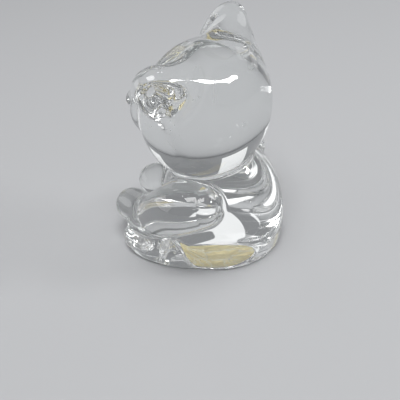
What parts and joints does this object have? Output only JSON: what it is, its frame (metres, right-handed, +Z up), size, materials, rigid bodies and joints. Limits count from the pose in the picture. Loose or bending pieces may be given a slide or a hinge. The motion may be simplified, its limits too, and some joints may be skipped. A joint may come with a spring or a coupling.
{
  "type": "crystal glass figurine",
  "caption": "Seated teddy bear figurine of clear solid crystal glass, with blunt ears that flow into the back of its head, paws held forward over the legs and a bare gold foil label under its base.",
  "frame": {"origin": "on the surface the bear sits on, midway between its two sides and midway between the tips of its paws and its back", "axes": "+Z up, -Y the way the bear faces, +X the bear's own left"},
  "size_m": [0.0582, 0.0568, 0.0711],
  "materials": {
    "crystal": "polished",
    "foil": "satin"
  },
  "bodies": {
    "root": {"torso": "crystal", "head": "crystal", "muzzle": "crystal", "nose": "crystal", "left_ear": "crystal", "right_ear": "crystal", "left_arm": "crystal", "right_arm": "crystal", "left_leg": "crystal", "right_leg": "crystal", "label": "foil"}
  },
  "joints": []
}
